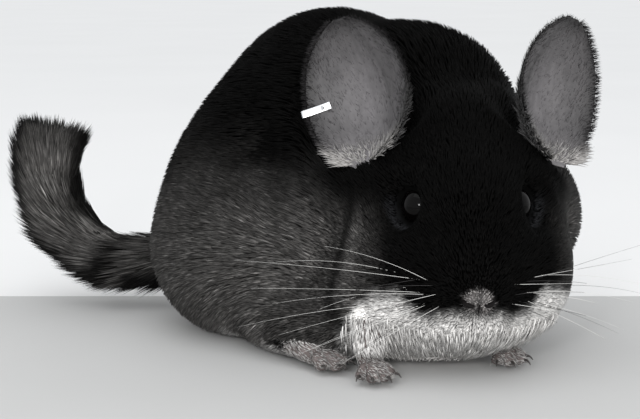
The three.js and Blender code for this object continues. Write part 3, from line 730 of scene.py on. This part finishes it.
def foot(limb, toes, widths, height):
    """A limb tapering to the wrist, with its toes, as one set of closed tubes, and its claws as another."""
    top, wrist = np.array(limb["top"], float), np.array(limb["wrist"], float)
    past = wrist + (wrist - top) * (0.12, 0.12, 0)
    path = curve([top, top + (wrist - top) * 0.55 + (0, 0, 1.0), wrist, past], 24)
    size = curve(np.array([*widths, (widths[-1][0] * 0.8, widths[-1][1] * 0.7)]), 24)
    flesh = [tube(path, size, 20, UP)]
    claws = []
    for along, points, thick in toe_paths(wrist, limb["heading"], toes, height):
        line = curve(points, 22)
        t = np.linspace(0, 1, 22)
        knuckle, pad = np.exp(-((t - 0.5) / 0.14) ** 2), np.exp(-((t - 0.93) / 0.09) ** 2)
        bulge = 1 + 0.13 * knuckle + 0.16 * pad - 0.1 * (t > 0.97)
        flesh.append(tube(line, np.stack([thick * bulge, thick * bulge * 0.92], 1), 14, UP))
        tip = points[-1]
        bend = [(-1.2, 0.75), (0.6, 1.15), (1.9, 0.75), (2.9, -0.35)]
        claw = curve([tip + along * (a + thick * 0.7) + (0, 0, b) for a, b in bend], 10)
        claw[:, 2] = np.maximum(claw[:, 2], 0.35)
        fade = np.linspace(1, 0.12, 10) ** 0.8
        claws.append(tube(claw, np.stack([0.78 * fade, 0.72 * fade], 1), 8, UP))
    return flesh, claws


flesh, claws = [], []
for name in SIDES:
    made, nails = foot(FORE[name], FORE_TOES, [(9, 9), (7, 6.5), (4.6, 4.2)], 4.4)
    flesh += made
    claws += nails
    made, nails = foot(HIND[name], HIND_TOES, [(7, 8), (6.6, 6.2), (5.6, 4.2)], 4.2)
    flesh += made
    claws += nails
feet_points, feet_faces = merged(flesh)
feet_points[:, 2] = np.maximum(feet_points[:, 2], 0.25)
skin_parts = merged([(skin_points, skin_quads), core, (feet_points, feet_faces)])
core_colour = np.full((len(core[0]), 3), 0.03)
foot_colour = np.array([0.17, 0.145, 0.14]) * (0.8 + 0.5 * noise(feet_points, 3, 21))[:, None]
all_colours = np.concatenate([skin_colour, core_colour, foot_colour])
skin = mesh_object("skin", *skin_parts, colour=all_colours, uv=unwrap(skin_parts[0]))
put(
    skin, skin_look, "dark_coat", "head", "neck", "torso", "thigh_right", "thigh_left",
    "fore_leg_right", "fore_leg_left", "hind_foot_right", "hind_foot_left",
    "tail_base", "tail_middle", "tail_end",
)
put(mesh_object("claws", *merged(claws)), claw_look, "foot_skin")


def nostril_line(side):
    comma = [(1.9, -31.4, 31.4), (3.4, -31.0, 31.2), (4.9, -29.7, 31.9), (5.6, -28.2, 33.2)]
    return in_head(np.array(comma) * (side, 1, 1))


# The body's coat
def body_density(p):
    """Tufts to a square millimetre: closest on the face, none over the eyes' openings or the nostrils."""
    flank = smoothstep(84, 66, p[:, 2]) * (p[:, 2] > 9)
    d = 0.78 + 0.42 * flank + 1.0 * smoothstep(0.3, 0.9, face_share(p))
    for side in SIDES.values():
        d = d * (np.linalg.norm(p - eye_opening(side), axis=1) > 8.1)
        line = curve(nostril_line(side), 9)
        d = d * (np.min(np.linalg.norm(p[:, None] - line[None], axis=2), axis=1) > 1.15)
    return d * (p[:, 2] > 0.6)


root, _ = scatter(skin_points, skin_quads, body_density, 3)
out = unit(slope(skin_field, root))
lie = lie_of(root, out)
count = len(root)
depth = coat_depth(root)
plush = 0.92 + 0.16 * noise(root, 7, 12) + 0.1 * rng.random(count)
fine_face = smoothstep(0.2, 0.9, face_share(root))
length = np.interp(depth, [0.4, 2.4, 5.2], [1.2, 3.4, 6.2]) * rng.uniform(0.8, 1.2, count)
from_nose = np.linalg.norm(root - in_head((0, -30, 33)), axis=1)
length = length * (1 - 0.4 * smoothstep(9, 4, from_nose))
width = mix(0.92, 0.66, fine_face) * rng.uniform(0.75, 1.3, count)
base = markings_and_painted_light(root, out)
bright = base.mean(1)
spread = 0.18 + 0.14 * smoothstep(0.01, 0.06, bright) - 0.24 * smoothstep(0.15, 0.5, bright)
ticking = np.exp(rng.normal(0, spread, count))
banded = (rng.random(count) < 0.1 * smoothstep(0.02, 0.08, bright) * (bright < 0.15)) * 1.0
base = base * ticking[:, None] * (1 + 0.9 * banded)[:, None]
tip = mix(np.where(rng.random(count) < 0.3, 0.8, 1.2), np.full(count, 1.05), smoothstep(0.15, 0.5, bright))
coat_objects("coat", tufts(root, out, lie, length, depth * plush * 0.98, width, base, tip))


# The ruff: longer white hair that hangs from chin and chest and hides where the forelegs leave the coat
def ruff_density(p):
    q = to_head(p)
    low = (p[:, 2] > 1.2) * smoothstep(25, 18, p[:, 2])
    return 0.7 * smoothstep(50, 44, np.abs(q[:, 0])) * (q[:, 1] < 14) * low


root, _ = scatter(skin_points, skin_quads, ruff_density, 7)
out = unit(slope(skin_field, root))
down = np.array([0.0, 0.0, -1.0]) - 0.35 * AWAY + 0.12 * (noise(root, 9, 51) - 0.5)[:, None]
lie = unit(down - out * np.sum(down * out, 1, keepdims=True))
count = len(root)
shade = WHITE * rng.uniform(0.7, 1.05, count)[:, None]
length, height = rng.uniform(6, 10, count), rng.uniform(2.4, 4.2, count)
coat_objects("ruff", tufts(root, out, lie, length, height, rng.uniform(0.5, 0.9, count), shade, 1.05))


# The tail's hair
def tail_hair(number, seed, reach, width):
    """Hairs rooted round the core that lean out to the coat's radius and lie towards the tail's end."""
    local = np.random.default_rng(seed)
    t = 0.1 + 0.9 * local.random(number) ** 0.85
    a = local.random(number) * 2 * math.pi
    i = np.minimum((t * (tail_count - 1)).astype(int), tail_count - 1)
    along, cross, up = tail_along[i], tail_cross[i], tail_up[i]
    out = unit(cross * np.cos(a)[:, None] + up * np.sin(a)[:, None])
    at = tail_line[i] + out * (core_radius[i] * 0.8)[:, None]
    bend = np.stack([noise(at, 9, seed), noise(at, 9, seed + 1), noise(at, 9, seed + 2)], 1) - 0.5
    lie = unit(along + 0.5 * bend - out * 0.05)
    height = (tail_coat[i] - core_radius[i] * 0.8) * local.uniform(0.62, 1.0, number)
    length = reach * local.uniform(0.75, 1.2, number) * (1 - 0.2 * smoothstep(0.85, 1.0, t))
    shade = tail_shade(a, t) * np.exp(local.normal(0, 0.42, number)) * (0.6 + 0.8 * noise(at, 6, seed + 4))
    wide = width * local.uniform(0.7, 1.3, number)
    return tufts(at, out, lie, length, height, wide, shade[:, None] * GREY, 1.1, 1.7)


coat_objects("tail_hair", tail_hair(18500, 31, 17, 0.9))


# The feet's short hair
def foot_density(p):
    return 1.3 * (p[:, 2] > 1.0)


root, out = scatter(feet_points, feet_faces, foot_density, 5)
keep = body_field(root) > -3
root, out = root[keep], out[keep]
high = smoothstep(6, 13, root[:, 2])
over_toes, down_legs = np.array([0.1, -1.0, -0.3]), np.array([0.0, -0.25, -1.0])
lie = unit(mix(over_toes + 0 * root, down_legs + 0 * root, high))
lie = unit(lie - out * np.sum(lie * out, 1, keepdims=True))
count = len(root)
shade = rng.uniform(0.22, 0.6, count)[:, None] * np.array([1.0, 0.97, 0.95])
shade = mix(shade, WHITE * rng.uniform(0.6, 1.0, count)[:, None], high)
length = mix(rng.uniform(1.4, 2.8, count), rng.uniform(3.0, 5.0, count), high)
height = mix(rng.uniform(0.3, 0.7, count), rng.uniform(0.5, 1.2, count), high)
made = tufts(root, out, lie, length, height, rng.uniform(0.25, 0.5, count) * (1 + high), shade)
coat_objects("foot_hair", made)


# Ears
def ear_surface(side, u, v, lift=0.0):
    """A cup: u runs from foot to tip, v from the inner edge at -1 to the outer at 1. Its outline is a blunt oval on
    a narrow stem, its edges come forward of its middle, and a soft fold runs up a third of the way in."""
    round_off = np.clip(1 - np.abs(2 * u - 1) ** EAR_ROUND, 0, 1) ** EAR_BLUNT
    round_off = np.maximum(round_off, 0.16 * (u < 0.1))
    half = np.where(v < 0, EAR_INNER, EAR_OUTER) * round_off
    bulge = np.clip(np.sin(math.pi * u), 0, 1)
    cup = (CUP_FOOT - CUP_FALL * u) * bulge**0.6
    fold = 0.9 * np.exp(-(((v + 0.34 - 0.1 * u) / 0.055) ** 2)) * bulge
    ripple = 0.35 * np.sin(9 * v + 5 * u) * bulge * (1 - v * v)
    forward = lift - cup * (1 - v * v) - EAR_LEAN * bulge + fold + ripple
    p = EAR_FOOT + EAR_AXIS * u[..., None] + EAR_ACROSS * (half * v)[..., None]
    return in_head((p + EAR_FRONT * forward[..., None]) * (side, 1, 1))


def ear_colour(u, v, front, p):
    """Grey skin, darker to its rim and tip, with a paler band up its middle, pale towards its foot, and painted
    shade along the crease beside its fold.
    """
    rim = np.maximum(smoothstep(0.72, 1.0, np.abs(v)), smoothstep(0.86, 1.0, u))
    band = np.exp(-(((v - 0.12) / 0.4) ** 2)) * smoothstep(0.05, 0.4, u) * (1 - smoothstep(0.5, 0.95, u))
    value = 0.085 + 0.085 * band - 0.055 * rim + 0.12 * (1 - smoothstep(0.05, 0.3, u))
    # Painted shade: a dark line along the crease beside the ear's fold
    painted_crease = np.exp(-(((v + 0.42 - 0.1 * u) / 0.035) ** 2))
    streak = noise(np.stack([25 * v, 9 * u, 0 * u], -1), 0.9, 41)
    value = value * (1 - 0.4 * painted_crease) * (0.8 + 0.4 * streak)
    value = np.where(front, value, value * 0.55)
    return value[:, None] * np.array([1.0, 0.95, 0.985])


EAR_ROWS, EAR_COLUMNS, EAR_HAIRS = 64, 48, 8500
for name, side in SIDES.items():
    across = -np.cos(np.linspace(0, math.pi, EAR_COLUMNS))
    u, v = np.meshgrid(np.linspace(0.0, 0.992, EAR_ROWS), across, indexing="ij")
    thick = (0.9 + 0.6 * (1 - v * v)) / 2
    thick = thick * np.clip(12 * (1 - np.abs(v)) + 0.2, 0, 1)
    front, back = ear_surface(side, u, v, thick), ear_surface(side, u, v, -thick)
    points = np.concatenate([front.reshape(-1, 3), back.reshape(-1, 3)])
    i, j = np.meshgrid(np.arange(EAR_ROWS - 1), np.arange(EAR_COLUMNS - 1), indexing="ij")
    a = (i * EAR_COLUMNS + j).ravel()
    ahead = np.stack([a, a + 1, a + EAR_COLUMNS + 1, a + EAR_COLUMNS], 1)
    behind = ahead[:, ::-1] + EAR_ROWS * EAR_COLUMNS
    loop = np.concatenate([
        np.arange(EAR_COLUMNS),
        (np.arange(1, EAR_ROWS) + 1) * EAR_COLUMNS - 1,
        (EAR_ROWS - 1) * EAR_COLUMNS + np.arange(EAR_COLUMNS - 2, -1, -1),
        np.arange(EAR_ROWS - 2, 0, -1) * EAR_COLUMNS,
    ])
    after = np.roll(loop, -1)
    rim = np.stack([after, loop, loop + EAR_ROWS * EAR_COLUMNS, after + EAR_ROWS * EAR_COLUMNS], 1)
    faces = np.concatenate([ahead, behind, rim])
    if side > 0:
        faces = faces[:, ::-1]
    both_u, both_v = np.tile(u.ravel(), 2), np.tile(v.ravel(), 2)
    is_front = np.arange(len(points)) < EAR_ROWS * EAR_COLUMNS
    tone = ear_colour(both_u, both_v, is_front, points)
    ear = mesh_object("ear_" + name + "_skin", points, faces, colour=tone)
    put(ear, ear_look, "ear_skin", "ear_" + name)

    # Short hairs over both faces, a fringe round the rim, and longer pale hair at the foot
    number = EAR_HAIRS
    hu = rng.uniform(0.03, 0.985, number)
    hv = -np.cos(rng.random(number) * math.pi)
    is_front = rng.random(number) < 0.5
    lift = np.where(is_front, 0.55, -0.55)
    at = ear_surface(side, hu, hv, lift * 0.6)
    out = unit(ear_surface(side, hu, hv, lift * 3) - at)
    up = unit(ear_surface(side, np.minimum(hu + 0.01, 1), hv, lift * 0.6) - at)
    further = ear_surface(side, hu, np.clip(hv + 0.02, -1, 1), lift * 0.6)
    away = unit(further - ear_surface(side, hu, np.clip(hv - 0.02, -1, 1), lift * 0.6))
    edge = smoothstep(0.8, 1.0, np.abs(hv))
    lie = up * (1 - 0.6 * edge)[:, None] + away * (np.sign(hv) * (0.25 + 1.1 * edge))[:, None]
    lie = unit(lie + 0.25 * rng.normal(size=(number, 3)))
    foot_hair = 1 - smoothstep(0.06, 0.24, hu)
    inner_root = smoothstep(-0.55, -0.85, hv) * (1 - smoothstep(0.25, 0.6, hu))
    length = 2.4 + 4.5 * foot_hair * rng.random(number) + 4.5 * inner_root * rng.random(number) + 0.3 * edge
    height = 0.35 + 2.2 * foot_hair * rng.random(number) + 1.6 * inner_root * rng.random(number)
    tone = ear_colour(hu, hv, is_front, at) * rng.uniform(0.7, 1.6, number)[:, None]
    tone = mix(tone, np.array([0.62, 0.6, 0.58]), foot_hair * 0.75 * is_front)
    tone = mix(tone, np.array([0.12, 0.12, 0.12]), inner_root * 0.6)
    width = rng.uniform(0.12, 0.24, number) * (1 + 2 * foot_hair + inner_root)
    coat_objects("ear_hair_" + name, tufts(at, out, lie, length, height, width, tone))


# Eyes and their lids
BALL_TURNS, BALL_RINGS = 64, 40
LID_TURNS, LID_RING = 72, 14


def round_turns(count):
    """Angles once round, without the last that meets the first."""
    return np.linspace(0, 2 * math.pi, count, endpoint=False)


for name, side in SIDES.items():
    facing = eye_facing(side)
    centre = eye_opening(side) - facing * EYE_SUNK
    from_pole = np.linspace(0.02, math.pi - 0.02, BALL_RINGS)
    a, b = np.meshgrid(round_turns(BALL_TURNS), from_pole, indexing="ij")
    ball = np.stack([np.cos(a) * np.sin(b), np.sin(a) * np.sin(b), np.cos(b)], -1).reshape(-1, 3)
    i, j = np.meshgrid(np.arange(BALL_TURNS), np.arange(BALL_RINGS - 1), indexing="ij")
    here, after = (i * BALL_RINGS + j).ravel(), ((i + 1) % BALL_TURNS * BALL_RINGS + j).ravel()
    faces = np.stack([here, here + 1, after + 1, after], 1)
    eyeball = mesh_object("eyeball_" + name, centre + ball * EYE_RADIUS, faces)
    put(eyeball, eye_look, "eye", "eye_" + name)
    right = unit(np.cross(facing, (0, 0, 1.0)))
    top = np.cross(right, facing)
    a, b = np.meshgrid(round_turns(LID_TURNS), round_turns(LID_RING), indexing="ij")
    corner = 1 + 0.1 * np.cos(a) ** 8
    reach = 7.2 * corner + 0.75 * np.cos(b)
    stand = 1.1 * np.sin(b) - 1.5 - 0.5 * np.cos(a) ** 2
    lid = centre + facing * EYE_SUNK + right * (reach * np.cos(a))[..., None]
    lid = lid + top * (reach * np.sin(a) * 0.97)[..., None]
    lid = (lid + facing * stand[..., None]).reshape(-1, 3)
    i, j = np.meshgrid(np.arange(LID_TURNS), np.arange(LID_RING), indexing="ij")
    i, j = i.ravel() * LID_RING, j.ravel()
    k, m = (i + LID_RING) % (LID_TURNS * LID_RING), (j + 1) % LID_RING
    faces = np.stack([i + j, k + j, k + m, i + m], 1)
    put(mesh_object("lids_" + name, lid, faces), lid_look, "dark_coat")


# Nose: two comma-shaped nostrils in a small pale pad, over a cleft. Both are dark tubes: painted shade standing in
# for the shadow inside the openings and down the groove
dark = []
for side in SIDES.values():
    line = curve(nostril_line(side), 14)
    size = 0.95 * np.sin(np.linspace(0.35, 2.9, 14)) + 0.15
    dark.append(tube(line, np.stack([size, size * 0.8], 1), 10, UP))
line = curve(in_head([(0, -30.9, 31.6), (0, -30.0, 29.6), (0, -27.6, 27.2)]), 10)
dark.append(tube(line, np.full((10, 2), 0.32), 8, unit(np.array([0, -1.0, 0]) @ HEAD_TURN)))
nostril_look = shader("nostril", (0.006, 0.005, 0.005), 0.6, Specular_IOR_Level=0.1)
put(mesh_object("nostrils", *merged(dark)), nostril_look, "dark_coat")


# Whiskers: they end where they would leave the solids' box by more than WHISKER_REACH
WHISKERS, WHISKER_POINTS, WHISKER_REACH = 18, 14, 7
low_limit = (np.array(cad_box[0]) * 1000 - SHIFT) - WHISKER_REACH
high_limit = (np.array(cad_box[1]) * 1000 - SHIFT) + WHISKER_REACH
backwards = np.array([0, 1.0, 0]) @ HEAD_TURN
pale, darks = [], []
for side in SIDES.values():
    for n in range(WHISKERS):
        row = n % 3
        column = n // 4
        start = np.array([13 + 2.2 * column, -21 + 2.6 * column, 30 + 4.2 * row]) + rng.normal(0, 0.5, 3)
        root_at = in_head(start * (side, 1, 1))
        for _ in range(4):
            inwards = unit(slope(body_field, root_at[None]))[0]
            root_at = root_at - inwards * (body_field(root_at[None])[0] + 1.2)
        aim = np.array([1.0, 0.05 + 0.11 * column, -0.4 + 0.24 * row]) + rng.normal(0, 0.14, 3)
        aim = unit((aim * (side, 1, 1)) @ HEAD_TURN)
        size = rng.uniform(34, 78)
        s = np.linspace(0, 1, WHISKER_POINTS)[:, None]
        line = root_at + aim * size * s + np.array([0, 0, -1.0]) * rng.uniform(2, 13) * s**2
        line = line + backwards * rng.uniform(3, 14) * s**2
        fits = np.all((line > low_limit) & (line < high_limit) & (line[:, 2:] > 7), axis=1)
        last = len(fits) if fits.all() else int(np.argmin(fits))
        if last < 5:
            continue
        radius = np.linspace(0.085, 0.025, WHISKER_POINTS)[:last]
        whisker = tube(line[:last], np.stack([radius, radius], 1), 5, UP)
        (pale if rng.random() < 0.62 else darks).append(whisker)
put(mesh_object("whiskers_pale", *merged(pale)), pale_whisker, "grey_coat")
put(mesh_object("whiskers_dark", *merged(darks)), dark_whisker, "dark_coat")


# The ear tag: a strip folded over the right ear's outer edge, with a pin through the ear
edge_at = 1.02
inner_at = edge_at - TAG["length"] / EAR_OUTER
tag_side = SIDES["right"]


def plain_ear(u, w, lift):
    """The ear's middle surface without its fold, as in the solids, for a strip that climbs inwards."""
    u = u + TAG["rise"] * (edge_at - w)
    round_off = max(1 - abs(2 * u - 1) ** EAR_ROUND, 0) ** EAR_BLUNT
    half = (EAR_INNER if w < 0 else EAR_OUTER) * round_off
    bulge = math.sin(math.pi * u)
    forward = lift - (CUP_FOOT - CUP_FALL * u) * bulge**0.6 * (1 - w**2) - EAR_LEAN * bulge
    p = EAR_FOOT + EAR_AXIS * u + EAR_ACROSS * half * w + EAR_FRONT * forward
    return in_head(p * (tag_side, 1, 1))


tag_u = TAG["along"]
stand_off = EAR_MIDDLE / 2 + GAP + TAG["thickness"] / 2
steps = np.linspace(inner_at, edge_at, 12)
places = [(w, stand_off) for w in steps]
places += [(edge_at + 0.05 * math.sin(a), stand_off * math.cos(a)) for a in np.linspace(0.3, math.pi - 0.3, 9)]
places += [(w, -stand_off) for w in steps[::-1]]
strip = np.array([plain_ear(tag_u, w, lift) for w, lift in places])
wide = unit(plain_ear(tag_u + 0.02, 0.8, 0) - plain_ear(tag_u - 0.02, 0.8, 0))
run = unit(np.gradient(strip, axis=0))
thick = unit(np.cross(run, wide))
wide = np.cross(thick, run)
outline = [(1, 0.82), (0.8, 1), (-0.8, 1), (-1, 0.82), (-1, -0.82), (-0.8, -1), (0.8, -1), (1, -0.82)]
half_thick, half_wide = TAG["thickness"] / 2, TAG["width"] / 2
rings = np.stack([strip + thick * a * half_thick + wide * b * half_wide for a, b in outline], 1)
n = len(strip)
i = np.repeat(np.arange(n - 1), 8) * 8
j = np.tile(np.arange(8), n - 1)
k = (j + 1) % 8
quads = np.stack([i + j, i + 8 + j, i + 8 + k, i + k], 1)
last = 8 * n - 8
caps = [(0, m, m + 1) for m in range(1, 7)] + [(last, last + m + 1, last + m) for m in range(1, 7)]
pin = np.array([plain_ear(tag_u, inner_at + 0.11, lift) for lift in (-1.9, -1.85, 0, 1.85, 1.9)])
pin_radii = np.array([TAG["pin"], 0.95, TAG["pin"], 0.95, TAG["pin"]])
pin_tube = tube(pin, np.stack([pin_radii, pin_radii], 1), 20, UP)
tag = merged([(rings.reshape(-1, 3), np.concatenate([triangles(quads), caps])), pin_tube])
put(mesh_object("tag", *tag, smooth=False), tag_look, "tag_metal", "ear_tag")


# Stage: a pale floor that meets a lighter sheet behind, in the photo's direction
def flat_sheet(name, near, far, half):
    """A sheet on the floor between two distances away, with a half width."""
    corners = [(near, -half), (near, half), (far, half), (far, -half)]
    points = np.array([AWAY * a + RIGHT * b for a, b in corners]) - (0, 0, SHIFT[2])
    return mesh_object(name, points, np.array([[0, 1, 2, 3]]))


SHEET_LINE = 68  # how far behind the model the floor's tone changes
floor_look = shader("floor", (0.56, 0.56, 0.555), 0.65, Specular_IOR_Level=0.2)
backdrop_look = shader("backdrop", (0.88, 0.88, 0.88), 0.9, Specular_IOR_Level=0.0)
floor = flat_sheet("floor", -2500, SHEET_LINE, 5000)
backdrop = flat_sheet("backdrop", SHEET_LINE, 9000, 9000)
floor.data.materials.append(speckled(floor_look, 6, 0.03))
backdrop.data.materials.append(speckled(backdrop_look, 4, 0.01))

# Light and camera
world = bpy.data.worlds.new("room")
world.use_nodes = True
background = world.node_tree.nodes["Background"]
background.inputs["Color"].default_value = (0.97, 0.985, 1.0, 1)
background.inputs["Strength"].default_value = 0.94
bpy.context.scene.world = world


def lamp(name, at, aim, size, power, tint=(1, 1, 1)):
    """A soft square light at a point, in millimetres of the model's frame, facing another."""
    light = bpy.data.lights.new(name, "AREA")
    light.size = size
    light.energy = power
    light.color = tint
    obj = bpy.data.objects.new(name, light)
    start = Vector((np.array(at) + SHIFT) * 0.001)
    end = Vector((np.array(aim) + SHIFT) * 0.001)
    obj.location = start
    obj.rotation_euler = (end - start).to_track_quat("-Z", "Y").to_euler()
    bpy.context.scene.collection.objects.link(obj)


middle = np.array([0, -10, 50.0])
lamp("top", middle + AWAY * -150 + RIGHT * -150 + (0, 0, 900), middle, 0.7, 1.2)
lamp("front", middle + AWAY * -900 + RIGHT * 250 + (0, 0, 140), middle, 0.5, 2.8, (1, 0.98, 0.95))
lamp("catch light", middle + AWAY * -560 + RIGHT * -130 + (0, 0, 190), middle, 0.08, 0.8)

camera = bpy.data.objects.new("camera", bpy.data.cameras.new("camera"))
bpy.context.scene.collection.objects.link(camera)
camera.data.lens = 77.34
camera.data.sensor_width = 36
camera.data.clip_start = 0.01
camera.location = (np.array([-366.389, -436.645, 153.0]) + SHIFT) * 0.001
pitch = math.radians(10)
look = AWAY * math.cos(pitch) - np.array([0, 0, math.sin(pitch)])
camera.rotation_euler = Vector(look).to_track_quat("-Z", "Y").to_euler()
bpy.context.scene.camera = camera
bpy.context.scene.view_settings.view_transform = "Standard"
